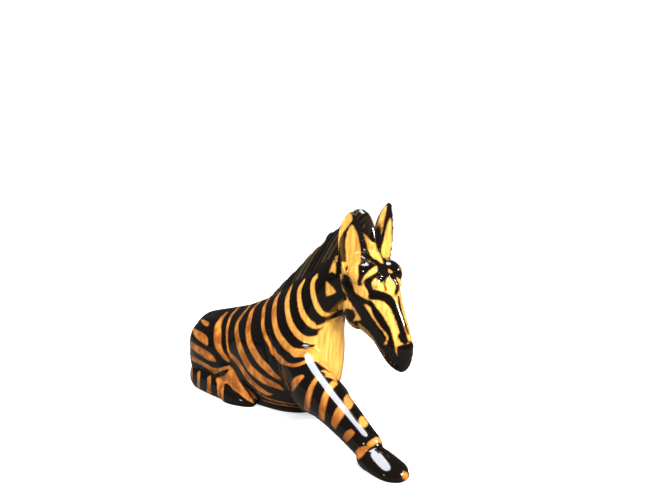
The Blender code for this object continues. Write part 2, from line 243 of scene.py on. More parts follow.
def curve_through(table, spans):
    """Points on one smooth curve through the rows of a table (Catmull-Rom), `spans` to a gap."""
    rows = np.array(table, float)
    padded = np.vstack([2 * rows[0] - rows[1], rows, 2 * rows[-1] - rows[-2]])
    share = np.linspace(0, len(rows) - 1, (len(rows) - 1) * spans + 1)
    index = np.minimum(share.astype(int), len(rows) - 2)
    t = (share - index)[:, None]
    before, start, end, after = (padded[index + k] for k in range(4))
    return 0.5 * (
        2 * start
        + (end - before) * t
        + (2 * before - 5 * start + 4 * end - after) * t**2
        + (3 * start - before - 3 * end + after) * t**3
    )


def rounded(values, squareness):
    """Bends a circle's sines or cosines towards a square, as a superellipse does."""
    return np.sign(values) * np.abs(values) ** (2 / squareness)


def skin(rings):
    """Points and triangles over a grid of rings, with a fan over each end, faces outwards."""
    count, sides, _ = rings.shape
    points = np.vstack([rings.reshape(-1, 3), rings[0].mean(0), rings[-1].mean(0)])
    ring, side = np.meshgrid(np.arange(count - 1), np.arange(sides), indexing="ij")
    a = ring * sides + side
    b = ring * sides + (side + 1) % sides
    wall = np.stack([a, b, b + sides, a, b + sides, a + sides], axis=-1).reshape(-1, 3)
    turn = np.arange(sides)
    following = (turn + 1) % sides
    last = (count - 1) * sides
    first_fan = np.stack([following, turn, np.full(sides, count * sides)], axis=1)
    last_fan = np.stack([last + turn, last + following, np.full(sides, count * sides + 1)], axis=1)
    faces = np.vstack([wall, first_fan, last_fan])
    corners = points[faces]
    volume = np.einsum("ij,ij->", corners[:, 0], np.cross(corners[:, 1], corners[:, 2]))
    return points, faces if volume > 0 else faces[:, ::-1]


def loft(table, relief=None):
    """Rings between an upper and a lower line: at angle a of station s, half the height times
    cos a above the middle and the half width times sin a aside, both squared off. A relief is
    added to the half width, and to the height along the top edge."""
    rows = curve_through(table, RINGS_PER_SPAN)
    angle = np.linspace(0, 2 * math.pi, RING_SIDES, endpoint=False)
    top_x, top_z, low_x, low_z, half_width, egg, squareness = (rows[:, k, None] for k in range(7))
    lift = rounded(np.cos(angle), squareness)
    spread = rounded(np.sin(angle), squareness) * (1 + egg * np.cos(angle))
    x = (top_x + low_x) / 2 + (top_x - low_x) / 2 * lift
    z = (top_z + low_z) / 2 + (top_z - low_z) / 2 * lift
    if relief is not None:
        depth = relief(x, z)
        spread = spread * (1 + depth / half_width)
        z = z + CREST_RELIEF * depth * np.clip(lift, 0, 1) ** 6
    return skin(np.stack([x, half_width * spread, z], axis=2))


def strands(x, z):
    """How far the mane's skin stands out: rounded strands side by side along the neck, each
    leaning forward as it rises, from the absolute sine of the place less a share of the height,
    and every so often a deeper cut."""
    along = x - STRAND_LEAN * z
    wave = np.abs(np.sin(math.pi * along / STRAND_WIDTH)) ** STRAND_ROUNDNESS
    swell = 0.3 * np.sin(math.tau * along / (STRAND_WIDTH * STRANDS_TO_A_CUT))
    fading = np.clip((MANE_FRONT - x) / MANE_FADE, 0, 1)
    return STRAND_DEPTH * (wave - STRAND_SUNK + swell) * fading


def mane_root_line():
    """The line where the mane leaves the neck, as x and as z."""
    return curve_through(MANE, 4)[:, 2:4].T


def limb(table, mirrored=False):
    """Rings along a centre line: at angle a, the half height times cos a upward and the half
    width times sin a aside, both squared off, on a section square to the line."""
    rows = curve_through(table, RINGS_PER_SPAN)
    centre = rows[:, :3] * (1, -1 if mirrored else 1, 1)
    along = np.gradient(centre, axis=0)
    along /= np.linalg.norm(along, axis=1, keepdims=True)
    across = np.cross((0.0, 0.0, 1.0), along)
    steep = np.linalg.norm(across, axis=1, keepdims=True) < 0.5
    across = np.where(steep, (0.0, 1.0, 0.0), across)
    across /= np.linalg.norm(across, axis=1, keepdims=True)
    upward = np.cross(along, across)
    angle = np.linspace(0, 2 * math.pi, RING_SIDES, endpoint=False)
    lift = rounded(np.cos(angle), rows[:, 5, None]) * rows[:, 3, None]
    spread = rounded(np.sin(angle), rows[:, 5, None]) * rows[:, 4, None]
    rings = centre[:, None] + lift[..., None] * upward[:, None]
    return skin(rings + spread[..., None] * across[:, None])


def ear(side):
    """A leaf on its root: at angle a, the half width times sin a across, and the thickness times
    cos a behind or less its squared cosine in front, which dishes it. Side is -1 right, 1 left."""
    rows = curve_through(EAR_PROFILE, RINGS_PER_SPAN)
    root = np.array(EAR_ROOT) * (1, -side, 1)
    tip = np.array(EAR_TIP) * (1, -side, 1)
    tip[2] += LEFT_EAR_GAIN if side > 0 else 0.0
    front = np.array((math.cos(EAR_OUTWARD_TURN), side * math.sin(EAR_OUTWARD_TURN), 0.0))
    across = np.cross((0.0, 0.0, 1.0), front)
    angle = np.linspace(0, 2 * math.pi, RING_SIDES, endpoint=False)
    depth = np.where(np.cos(angle) > 0, -EAR_HOLLOW * np.cos(angle) ** 2, np.cos(angle))
    return skin(
        (root + rows[:, 0, None] * (tip - root))[:, None]
        + (rows[:, 1, None] * np.sin(angle))[..., None] * across
        + (rows[:, 2, None] * depth)[..., None] * front
    )


def mass(centre, half_sizes, side):
    """An ellipsoid: at latitude u and longitude v, the sines and cosines times the half sizes."""
    latitude = np.linspace(POLE_GAP, math.pi - POLE_GAP, RING_SIDES // 2)[:, None]
    longitude = np.linspace(0, 2 * math.pi, RING_SIDES, endpoint=False)
    unit = np.stack(
        [
            np.cos(latitude) + 0 * longitude,
            np.sin(latitude) * np.cos(longitude),
            np.sin(latitude) * np.sin(longitude),
        ],
        axis=2,
    )
    return skin(np.array(centre) * (1, -side, 1) + unit * half_sizes)


def forms():
    """Every carved form, as closed skins that run into each other."""
    made = [
        loft(TRUNK),
        loft(HEAD),
        loft(MANE, strands),
        limb(STRETCHED_LEG),
        limb(STRETCHED_HOOF),
        limb(FOLDED_FOREARM),
        limb(FOLDED_FORE_CANNON),
        limb(TAIL),
    ]
    for side in (-1, 1):
        made += [limb(table, side > 0) for table in (HIND_CANNON, HIND_HOOF, HIND_SHANK)]
        made.append(ear(side))
        made += [
            mass(centre, half_sizes, side)
            for centre, half_sizes in (HAUNCH, SHOULDER_BLADE, CHEEK, EYE, BROW, NOSTRIL)
        ]
    return made


def object_from(name, points, faces):
    """A new object in the scene, with a mesh of these points and faces."""
    mesh = bpy.data.meshes.new(name)
    mesh.from_pydata(points, [], faces)
    obj = bpy.data.objects.new(name, mesh)
    bpy.context.scene.collection.objects.link(obj)
    return obj


def settled(obj):
    """Replaces the object's mesh by what its modifiers make of it."""
    bpy.context.view_layer.update()
    graph = bpy.context.evaluated_depsgraph_get()
    mesh = bpy.data.meshes.new_from_object(obj.evaluated_get(graph))
    obj.modifiers.clear()
    obj.data = mesh
    return obj


def points_of(obj, what="co"):
    """The places of the mesh's points, or their normals, as one array."""
    values = np.empty(len(obj.data.vertices) * 3, np.float32)
    obj.data.vertices.foreach_get(what, values)
    return values.reshape(-1, 3).astype(float)


def fused(skins):
    """One closed skin round all the forms, still in millimetres."""
    starts = np.cumsum([0] + [len(points) for points, _ in skins[:-1]])
    points = np.vstack([points for points, _ in skins])
    faces = np.vstack([faces + start for (_, faces), start in zip(skins, starts)])
    obj = object_from("carved_zebra", points, faces)
    remesh = obj.modifiers.new("one_skin", "REMESH")
    remesh.mode = "VOXEL"
    remesh.voxel_size = SKIN_GRAIN
    return settled(obj)


def sand(obj, blend, body, ears, fine):
    """Moves each point part of the way to the middle of its neighbours, pass after pass: most
    where the stretched leg grows out of the shoulder, less on the trunk and legs, less again on
    the ears, and least on the head and mane, whose carving stays sharp."""
    points = points_of(obj)
    edges = np.empty(len(obj.data.edges) * 2, np.int32)
    obj.data.edges.foreach_get("vertices", edges)
    edges = edges.reshape(-1, 2)
    ends = np.concatenate([edges, edges[:, ::-1]])
    neighbours = np.bincount(ends[:, 0], minlength=len(points))
    x, y, z = points.T
    in_crest = (z > np.interp(x, *mane_root_line()) - 2) & (np.abs(y) < 7)
    in_ear = (z > 80) & (np.abs(y) > 6.5)
    from_shoulder = np.linalg.norm((points - SHOULDER_JOIN[0]) / SHOULDER_JOIN[1], axis=1)
    passes = np.interp(from_shoulder, (0.7, 1.1), (blend, body))
    passes = np.where((x > 136) | in_crest, np.where(in_ear, ears, fine), passes)
    weight = 0.5 * passes[:, None] / blend
    for _ in range(blend):
        mean = [
            np.bincount(ends[:, 0], points[ends[:, 1], axis], len(points)) / neighbours
            for axis in range(3)
        ]
        points += weight * (np.stack(mean, axis=1) - points)
    obj.data.vertices.foreach_set("co", points.ravel())
    obj.data.update()


def groove(obj):
    """Sinks the skin along each groove, below the nearest place on its line, by the groove's
    depth times a bell curve of the distance from the line."""
    surface = Surface(obj)
    points, normals = points_of(obj), points_of(obj, "normal")
    for marks, depth in GROOVES:
        stroke = seen_stroke(surface, marks)
        for line in (stroke, stroke * STROKE_MIRROR):
            half = line[:, 3].mean()
            distance = half - inside_stroke(points, normals, line)
            points -= depth * np.exp(-((distance / half) ** 2))[:, None] * normals
    obj.data.vertices.foreach_set("co", points.ravel())
    obj.data.update()


def thin_and_cut(obj):
    """Keeps few enough triangles, and takes off what is below the ground."""
    obj.data.calc_loop_triangles()
    decimate = obj.modifiers.new("facets", "DECIMATE")
    decimate.ratio = min(1.0, MOST_TRIANGLES / len(obj.data.loop_triangles))
    settled(obj)
    bpy.ops.mesh.primitive_cube_add(size=1)
    ground = bpy.context.object
    ground.dimensions = GROUND_BLOCK
    ground.location = (0, 0, -GROUND_BLOCK[2] / 2)
    cut = obj.modifiers.new("flat_underside", "BOOLEAN")
    cut.operation = "DIFFERENCE"
    cut.solver = "EXACT"
    cut.object = ground
    settled(obj)
    bpy.data.objects.remove(ground)
    return obj


FORWARD = np.array((-math.sin(CAMERA_TURN), math.cos(CAMERA_TURN), 0.0))
RIGHTWARD = np.array((math.cos(CAMERA_TURN), math.sin(CAMERA_TURN), 0.0))
UPWARD = np.array((0.0, 0.0, 1.0))

# A stroke is an array with a row for each place on it: x, y, z, half width, the skin's normal.
STROKE_MIRROR = (1, -1, 1, 1, 1, -1, 1)


def ray(x, y):
    """The direction from the camera through a place in the photograph."""
    aside = (x - FRAME_SIZE[0] / 2) / PIXELS_TO_DEPTH
    above = (FRAME_SIZE[1] / 2 - y) / PIXELS_TO_DEPTH
    return FORWARD + aside * RIGHTWARD + above * UPWARD


def in_photo(points):
    """Where points fall in the photograph: x, y and the depth in front of the camera."""
    offset = points - CAMERA
    depth = offset @ FORWARD
    x = FRAME_SIZE[0] / 2 + PIXELS_TO_DEPTH * (offset @ RIGHTWARD) / depth
    y = FRAME_SIZE[1] / 2 - PIXELS_TO_DEPTH * (offset @ UPWARD) / depth
    return x, y, depth


class Surface:
    """The carved skin, asked where a ray meets it and which point of it is nearest."""

    def __init__(self, obj):
        self.tree = BVHTree.FromObject(obj, bpy.context.evaluated_depsgraph_get())

    def behind(self, x, y):
        """Where the ray through a place in the photograph meets the skin, or comes nearest."""
        direction = ray(x, y)
        hit = self.tree.ray_cast(Vector(CAMERA), Vector(direction))
        if hit[0] is None:
            trials = [
                self.tree.find_nearest(Vector(np.array(CAMERA) + direction * depth))
                for depth in SEARCH_DEPTHS
            ]
            hit = min(trials, key=lambda trial: trial[3])
        return np.array(hit[0]), np.array(hit[1])

    def nearest(self, point):
        """The place on the skin nearest to a point, and the skin's normal there."""
        hit = self.tree.find_nearest(Vector(point))
        return np.array(hit[0]), np.array(hit[1])


def seen_stroke(surface, marks, spans=5):
    """A brush stroke through places in the photograph, each with its half width in pixels. It
    is carried onto the skin, and its width with it, from the two edges of the stroke there."""
    rows = curve_through(marks, spans)
    along = np.gradient(rows[:, :2], axis=0)
    along /= np.linalg.norm(along, axis=1, keepdims=True) + 1e-9
    aside = np.stack([-along[:, 1], along[:, 0]], axis=1)
    stroke = []
    for (x, y, half), (side_x, side_y) in zip(rows, aside):
        middle, normal = surface.behind(x, y)
        depth = in_photo(middle[None])[2][0]
        flat = half * depth / PIXELS_TO_DEPTH
        one, _ = surface.behind(x + side_x, y + side_y)
        other, _ = surface.behind(x - side_x, y - side_y)
        stretch = np.linalg.norm(one - other) / 2 / (depth / PIXELS_TO_DEPTH)
        stroke.append((*middle, flat * np.clip(stretch, *STRETCH_LIMITS), *normal))
    return np.array(stroke)


def modelled_stroke(surface, marks, spans=6):
    """A brush stroke through places on the carving, x, y, z, each with its half width."""
    rows = curve_through(marks, spans)
    stroke = []
    for x, y, z, half in rows:
        middle, normal = surface.nearest((x, y, z))
        stroke.append((*middle, half, *normal))
    return np.array(stroke)


def rings_round(surface, table, places, half_width):
    """Closed strokes round a limb, square to its centre line, at places along its table."""
    centre = curve_through(table, RING_SPANS)[:, :3]
    along = np.gradient(centre, axis=0)
    turn = np.linspace(0, math.tau, RING_POINTS)[:, None]
    strokes = []
    for place in places:
        index = round(place * RING_SPANS)
        axis = along[index] / np.linalg.norm(along[index])
        across = np.cross((0.0, 0.0, 1.0), axis)
        across /= np.linalg.norm(across)
        upward = np.cross(axis, across)
        ring = centre[index] + RING_REACH * (np.cos(turn) * upward + np.sin(turn) * across)
        found = [surface.nearest(point) for point in ring]
        strokes.append(np.array([(*point, half_width, *normal) for point, normal in found]))
    return strokes


def over_the_back(stroke):
    """The stroke led on up to the middle of the back, where its mirror image meets it."""
    crest = (stroke[0] + stroke[0] * STROKE_MIRROR) / 2
    return np.vstack([crest, stroke])


def inside_stroke(points, normals, stroke):
    """How far inside the stroke's edge each point lies: the stroke's half width less the distance
    to its nearest segment, and less again where the skin faces away from the stroke."""
    inside = np.full(len(points), FAR_OUTSIDE)
    reach = stroke[:, 3].max() + 4
    low, high = stroke[:, :3].min(0) - reach, stroke[:, :3].max(0) + reach
    near = np.all((points > low) & (points < high), axis=1)
    place = points[near]
    if not len(place):
        return inside
    best = np.full(len(place), FAR_OUTSIDE)
    for start, end in zip(stroke[:-1], stroke[1:]):
        step = end[:3] - start[:3]
        share = np.clip((place - start[:3]) @ step / max(step @ step, 1e-9), 0, 1)
        distance = np.linalg.norm(place - start[:3] - share[:, None] * step, axis=1)
        turned = -(normals[near] @ (start[4:7] + end[4:7]) / 2) - STROKE_TURN
        half = start[3] + share * (end[3] - start[3])
        best = np.maximum(best, half - distance - STROKE_FADE * np.clip(turned, 0, 1))
    inside[near] = best
    return inside


def inside_outline(photo, facing, outline):
    """How far inside a closed outline of the photograph each point falls, in millimetres. Its
    corners are first cut off twice, and points that face away from the camera are outside it."""
    corners = np.array(outline, float)
    for _ in range(2):
        following = np.roll(corners, -1, axis=0)
        cut = [0.84 * corners + 0.16 * following, 0.16 * corners + 0.84 * following]
        corners = np.stack(cut, axis=1).reshape(-1, 2)
    x, y, depth = photo
    inside = np.full(len(x), FAR_OUTSIDE)
    low, high = corners.min(0) - 10, corners.max(0) + 10
    near = (x > low[0]) & (x < high[0]) & (y > low[1]) & (y < high[1])
    place = np.stack([x[near], y[near]], axis=1)
    distance = np.full(len(place), np.inf)
    within = np.zeros(len(place), bool)
    for start, end in zip(corners, np.roll(corners, -1, axis=0)):
        step = end - start
        share = np.clip((place - start) @ step / max(step @ step, 1e-9), 0, 1)
        from_side = np.linalg.norm(place - start - share[:, None] * step, axis=1)
        distance = np.minimum(distance, from_side)
        crosses = (start[1] > place[:, 1]) != (end[1] > place[:, 1])
        slope = (end[0] - start[0]) / (end[1] - start[1] if end[1] != start[1] else 1e-9)
        within ^= crosses & (place[:, 0] < start[0] + (place[:, 1] - start[1]) * slope)
    signed = np.where(within, distance, -distance) * depth[near] / PIXELS_TO_DEPTH
    inside[near] = signed - OUTLINE_FADE * np.clip(OUTLINE_TURN - facing[near], 0, 1)
    return inside


# Wood left bare between the dark bands of the trunk and neck: centre line and half width, in
# the photograph, from the back or mane down to the chest or belly.
TRUNK_BANDS = [
    [(238, 308, 0.8), (231, 316, 1.1), (228, 326, 1), (227, 335, 0.8), (227.5, 345, 0.8),
        (230, 354, 1), (238, 363, 1.3), (248, 378, 1.6), (257, 387, 1.6), (267, 393.5, 1.2),
        (272, 394, 0.6)],
    [(250.5, 305, 0.9), (240.5, 317.5, 1.4), (236.5, 327, 1.7), (238, 341.5, 1.9), (243, 356, 2.2),
        (251, 369.5, 2.4), (263, 379.5, 2.4), (273.5, 384.5, 2), (279, 387, 1.5),
        (283, 389.5, 0.7)],
    [(260.5, 301, 0.9), (253, 309, 1.4), (250, 317.5, 1.7), (248, 329, 2), (249, 340, 2.2),
        (253, 350, 2.4), (259.5, 360.5, 2.5), (267, 368, 2.5), (272, 373, 2), (276.5, 376.5, 1.5),
        (280, 378.5, 0.8)],
    [(269.5, 297.5, 0.8), (264.5, 306.5, 1.1), (263, 317.5, 1.3), (263, 327, 1.4),
        (265.5, 336.5, 1.5), (271, 347, 1.6), (276, 355, 1.7), (282, 361, 1.5), (290, 365, 1.3),
        (298, 364.5, 1.3), (306, 361.5, 1.5), (316, 357.5, 2)],
    [(281, 290, 0.9), (275.5, 301, 1.5), (274, 314, 1.9), (275.5, 327, 2.2), (279.5, 337, 2.5),
        (287, 346.5, 2.8), (294.5, 351.5, 2.8), (303, 352.5, 3), (318, 352, 4)],
    [(291.5, 286, 0.9), (288, 295, 1.5), (287, 304.5, 1.9), (288, 315, 2.2), (291.5, 325.5, 2.5),
        (298.5, 335, 2.8), (308, 340, 3.2), (325, 340, 5)],
    [(304, 280.5, 0.9), (300, 288, 1.5), (299, 296.5, 1.8), (300.5, 307, 2.2), (304, 316, 2.6),
        (311, 324, 2.8), (319.5, 325.5, 2.6), (332, 319, 1.8)],
    [(321.5, 272, 0.8), (314, 279.5, 1.6), (312.5, 288, 2), (314, 298, 2.3), (317.5, 307, 2.5),
        (322.5, 313.5, 2.3), (329.5, 315.5, 1.8)],
]

# Bare wood on the haunch and the hind leg, both sides alike: outlines in the photograph.
HAUNCH_WOOD = [
    [(199.5, 318.5), (205, 320), (209.5, 322.5), (208, 327), (203.5, 325)],
    [(191.5, 326.5), (207.5, 335.5), (208.5, 347), (198, 340), (193.5, 335)],
    [(188, 339), (197.5, 345.5), (211.5, 353.5), (217.5, 362.5), (209, 361), (197, 353),
        (190, 347)],
    [(227, 311.5), (220, 317.5), (214.5, 325.5), (213.5, 338), (215, 348), (222.5, 358), (229, 363),
        (230.5, 360.5), (223.5, 352), (221, 343), (221.5, 336), (221, 326.5), (223, 319),
        (228.5, 311.5)],
    [(215.5, 378), (224, 376), (228.5, 371), (231, 366), (234, 370), (241.5, 384.5), (248, 393),
        (255, 404), (248, 401), (239.5, 394), (233, 389.5), (230, 385.5), (226.5, 383), (223, 385),
        (216.5, 383.5)],
]
HAUNCH_WOOD_STROKES = [
    [(189, 356, 1.1), (198, 361.5, 1.6), (207.5, 367, 1.9), (215.5, 370.5, 1.8), (229, 367, 1.4)],
    [(198.6, 373, 1.4), (198.6, 380, 1.5), (198.6, 389, 1.4)],
    [(209, 378, 1.7), (209, 386, 1.9), (209, 394, 1.7)],
    [(220, 382, 3), (220.3, 390, 3.1), (220.5, 397, 3)],
    [(191.7, 366, 0.9), (191.9, 375, 0.9), (191.9, 384, 0.8)],
]

# Bare wood on the stretched leg, right side only: outlines in the photograph.
LEG_WOOD = [
    [(323, 369.5), (318.5, 372), (314, 378), (308.5, 387), (305.5, 395), (303.5, 411), (309, 413.5),
        (311, 398.5), (313.5, 388.5), (317.5, 381), (323.5, 376.5), (331, 378.5), (337.5, 382.5),
        (335, 376), (329.5, 371.5)],
    [(337, 381.5), (332, 380), (325.5, 388), (321.5, 397), (319, 408), (318.5, 419), (324.5, 422.5),
        (325, 414), (326.5, 405), (329.5, 396), (334, 388), (338.5, 384)],
    [(341, 402), (336, 408.5), (332, 417), (331, 424), (335.5, 430.5), (338.5, 423), (344.5, 415.5),
        (345.5, 410)],
    [(347.5, 393), (343, 398.5), (344, 404), (349.5, 411), (354.5, 403), (352, 394.5)],
    [(351.5, 428.5), (345, 432), (342.5, 438), (346.5, 443), (351, 438), (355.5, 432.5)],
    [(361.5, 415), (357.5, 420.5), (360, 427), (364.5, 428.5), (369, 424), (366, 417.5)],
    [(365.5, 445.5), (358, 448), (353, 454.5), (358, 460), (363, 456), (370, 447.5)],
    [(375.5, 436.5), (365.5, 444), (369, 449), (376.5, 444), (380, 442.5), (384.5, 447),
        (382, 438)],
]

# The chest's front, bare of bands: an outline in the photograph.
CHEST_WOOD = [(318, 331), (324, 327), (333, 321), (342, 315), (350, 325), (347, 352), (345, 374),
    (337, 382), (329, 371.5), (321, 365.5), (316, 361.5), (306, 364), (304, 361), (310, 357.5),
    (311.5, 350), (318, 340)]
# The small patch of wood above the stretched leg's first dark band, and the band.
LEG_TOP = [
    ("wood", [(291, 381), (296, 376.5), (303, 374), (305.5, 378), (300, 382), (295.5, 388),
        (292, 393)]),
    ("dark", [(294.5, 399), (296, 390.5), (300.5, 381), (307.5, 374), (319.5, 366.5), (323, 369),
        (314, 378), (308.5, 387), (305.5, 395), (304, 407), (298, 404)]),
]

# Upper neck and head, right side, in painting order: "wood" or "dark", and an outline.
NEAR_HEAD = [
    ("wood", [(340, 276), (342, 258), (350, 258), (366, 260), (380, 280), (372, 330), (362, 322),
        (352, 323), (340, 310), (344, 300), (346, 292)]),
    ("dark", [(321.5, 260), (318.4, 270), (317.6, 280), (317.5, 289.5), (319, 298.6),
        (323.6, 306.8), (329, 312.3), (338, 311.5), (347, 301), (346, 292), (342.5, 281),
        (341, 268), (337.5, 258)]),
    ("wood", [(325.6, 280), (331.5, 285.5), (337.5, 292.5), (333, 294.5), (325.6, 297.5)]),
    ("wood", [(328.5, 273.5), (331, 266), (334.5, 258.5), (336.5, 266), (336, 274.5), (332, 272)]),
    ("wood", [(339.5, 274), (343, 273), (346, 280), (348, 292.5), (342.5, 292), (341.5, 284)]),
    ("wood", [(338, 304.5), (347.5, 299), (351, 304), (344, 311), (338, 311.5)]),
    ("dark", [(343, 273), (350, 277.5), (352.5, 285), (355, 293), (360.5, 296.5), (366.5, 300),
        (371.5, 300), (375, 306.5), (381, 313.5), (386, 319.5), (390.5, 328), (393, 336),
        (395.5, 344.5), (396, 351), (391, 367), (384, 366), (377, 355), (372, 344), (364, 334),
        (353, 328), (343, 321.5), (344, 316), (349, 321.5), (355, 320), (356.5, 311.5),
        (352.5, 305), (348, 299), (346, 292), (341, 284)]),
    ("wood", [(348.5, 300), (351.5, 303), (355, 309.5), (359.5, 316), (361.5, 320.5), (355.5, 321),
        (352.5, 321.5), (355.5, 316), (354.5, 311), (349, 308), (340, 311.5), (339, 306)]),
    ("wood", [(363.5, 303.5), (368, 304.5), (371, 308), (372.5, 313), (376, 320), (381, 327),
        (386.5, 333), (388.8, 337.5), (388, 342.5), (384.5, 346), (383.2, 343.5), (386.2, 340.5),
        (386, 336.5), (382.5, 331.5), (376.5, 324), (371.5, 317), (368.5, 311.5), (364.5, 307)]),
    ("wood", [(380, 348), (385, 353), (384.5, 357), (382, 358.5), (379.5, 354)]),
    ("wood", [(367.5, 331), (370, 334), (369.8, 336.5), (367.2, 335)]),
    ("dark", [(345, 309.5), (349, 308.5), (354, 311), (355.5, 316), (353, 321), (349, 322),
        (344.5, 320), (342.5, 315)]),
    ("dark", [(369.9, 254.4), (373, 258.5), (376.7, 259.8), (381.3, 263.6), (386, 268),
        (386, 279.5), (381.3, 283), (378.6, 279.8), (376.4, 277.6), (373.3, 279), (371.4, 283),
        (366.3, 284.8), (363.6, 282.6), (361.8, 285.4), (358.2, 285.6), (357.4, 282), (359, 276),
        (358.5, 270), (358.4, 264.4), (361.2, 259.6), (365.6, 256.8)]),
    ("wood", [(361.5, 281), (364, 275.6), (369.2, 270.4), (374, 266.6), (376.4, 265.2),
        (378.2, 268.2), (377.8, 272), (374, 274.2), (369.8, 277), (366, 279), (363.4, 282.6),
        (360.5, 288)]),
    ("dark", [(364, 281.6), (367, 281.4), (372, 281), (371.6, 284.6), (371.8, 286.8),
        (373.2, 289.6), (377.8, 290.5), (385, 292.7), (390, 294.8), (393.4, 298), (397, 305.3),
        (399.2, 312.5), (401.5, 318.9), (403.3, 325.3), (406, 332.5), (408.2, 340.7), (406.7, 344),
        (401.3, 343), (397.2, 336.2), (400, 332.8), (398.3, 328.9), (396.5, 321.6), (393.8, 316.2),
        (392, 310.9), (389.2, 306.4), (385.6, 302.8), (381.1, 300.2), (374.9, 299.8),
        (370.2, 299.4), (368, 297.2), (368.8, 293.6), (367, 289.2), (364.4, 285.6)]),
    ("wood", [(370.4, 300.4), (373.1, 302.4), (379.3, 311), (384.7, 319.2), (389.3, 327.4),
        (392, 334.7), (394.2, 343.7), (395.6, 352.7), (397.8, 357), (399.2, 348.4), (401.5, 346),
        (404.4, 344.2), (399.7, 342.6), (396.9, 337.3), (397.8, 333.5), (396.9, 327.1),
        (395.1, 319.8), (392.4, 312.3), (388.7, 307.6), (385, 304.2), (378, 301.6), (372, 300.2)]),
]
# Strokes on the middle plane of the carving, x, y, z and half width.
FACE_FRONT = [(151, 0, 72, 12), (160, 0, 62, 12), (171, 0, 46, 9)]
THROAT = [(121, 0, 52, 6), (119.5, 0, 36, 8), (117, 0, 22, 9), (108, 0, 8, 10)]
JAW_UNDERSIDE = [(141, 0, 54, 8), (148, 0, 49, 12), (157, 0, 43, 12), (166, 0, 37, 10),
    (171, 0, 38, 8)]
# The middle and far side of the head as the photograph shows them.
FAR_HEAD = [
    ("wood", [(384.9, 279.4), (388.5, 276.6), (393, 278), (398.5, 278.5), (404, 282), (404.5, 300),
        (409, 328), (414, 341), (408, 341.5), (405.9, 332.5), (403.2, 325), (401.4, 318.9),
        (399.1, 312.3), (396.9, 305.1), (393.3, 297.8), (390.2, 294.6), (386.3, 291.5)]),
    ("dark", [(382.5, 266), (385, 262), (388.5, 260.2), (395.8, 264), (400.4, 268.4), (402.6, 275),
        (402, 281), (399.8, 279.6), (396.6, 276.4), (392.6, 273), (390.5, 276.4), (386.2, 277.2),
        (384.4, 281)]),
    ("wood", [(388, 268.4), (391, 269.8), (393, 272.4), (390.5, 273.8), (388.3, 272.6)]),
    ("dark", [(388.6, 276.4), (392.6, 276), (397, 279.6), (399, 284.5), (399, 290), (396.6, 294.6),
        (393.4, 295.4), (393.8, 293), (395.6, 290.6), (396.4, 286.8), (395.2, 282.6),
        (392, 279.2)]),
    ("dark", [(384.4, 277.6), (386.4, 277), (385.6, 281), (385.4, 285.4), (386.8, 290.2),
        (385.2, 291), (384.2, 286)]),
    ("dark", [(397.6, 296), (399.4, 296.4), (400.8, 306.6), (404.2, 318.6), (409.4, 334),
        (407.4, 334.4), (402.2, 319.6), (398.8, 307.6)]),
    ("dark", [(396.8, 346.6), (403, 345), (409.5, 343.5), (418, 341), (418, 360), (411, 376),
        (394, 376), (388, 366), (395.4, 353.5), (397.6, 357.4)]),
]
# The ears, and the dark of the mane between them.
EARS = [
    ("dark", [(351, 212), (344, 217), (339.5, 225), (336.5, 232), (336.5, 262), (362, 261),
        (362, 240), (357, 220)]),
    ("wood", [(351, 211.5), (346.5, 213.5), (342.5, 217.5), (339.5, 224), (335, 231), (335, 262),
        (337.2, 262), (339, 250), (339.5, 240), (342, 234.5), (346, 229), (350.5, 223.5),
        (353, 219)]),
    ("wood", [(352, 223.5), (347.5, 230.5), (345, 239.5), (345, 248), (346.5, 268), (361, 265),
        (360.8, 250), (359.2, 239.5), (357.5, 233), (355, 228)]),
    ("dark", [(383, 202), (389.5, 200), (394, 213), (395, 240), (392, 257), (381, 257), (374, 241),
        (371, 226), (376, 212)]),
    ("wood", [(385, 203.5), (387.2, 208.5), (384.2, 221), (382.2, 231), (380.2, 239.5),
        (379.2, 252), (376.5, 249), (373.6, 239.5), (374, 231), (379, 217)]),
    ("wood", [(390.5, 217), (387.5, 222.5), (385, 233), (383, 241.5), (380.5, 251), (382.5, 258),
        (390, 258), (391.2, 248), (392.4, 239.5), (392.4, 229), (392.2, 221)]),
    ("dark", [(353, 212), (360, 207), (372, 207), (373.5, 222), (374, 231), (373.5, 240),
        (371, 240), (367, 234), (362, 231.5), (357, 224)]),
]
# The pointed tuft of bare wood that lies on the brow.
FORELOCK = [(362.5, 231.5), (365.5, 235), (369, 238.5), (371.5, 241.5), (375.5, 242.5), (378, 250),
    (381, 256), (384, 264), (380.5, 263), (376.5, 259.6), (372.5, 258), (369.8, 254), (367, 248),
    (365, 240)]

# Grooves cut with the knife's tip: places in the photograph, half width in pixels, depth.
GROOVES = [
    ([(261.5, 335, 1), (264, 346, 1), (267.8, 360, 1)], 0.5),
    ([(267.8, 331, 1), (271, 347, 1), (276.5, 367.5, 1)], 0.5),
    ([(364.5, 284.5, 0.9), (369, 280.5, 0.9), (376, 277.8, 0.9), (383, 278.5, 0.9)], 0.5),
    ([(365, 286.5, 0.9), (370, 291, 0.9), (378, 291.5, 0.9), (386, 294, 0.9)], 0.5),
    ([(381, 352.5, 0.8), (387, 357, 0.8), (393, 359.5, 0.8), (400, 360, 0.7)], 0.5),
]
# Bands round the rump, in keeping with what the photograph shows: x, y, z and half width on
# the carving, the same on both sides.
REAR_BANDS = [
    [(-6, -17, 33.5, 1.9), (-11, -13, 34.5, 1.9), (-14, -7, 36.5, 1.4), (-14.5, -4, 37.5, 0.5)],
    [(-6, -17, 26.5, 1.7), (-11, -13, 27, 1.8), (-14, -7, 28.5, 1.4), (-14.5, -4, 29, 0.5)],
    [(-6, -17, 18, 1), (-11, -13, 18.5, 1.2), (-14, -7, 19.5, 0.9), (-14.5, -4, 20, 0.4)],
]
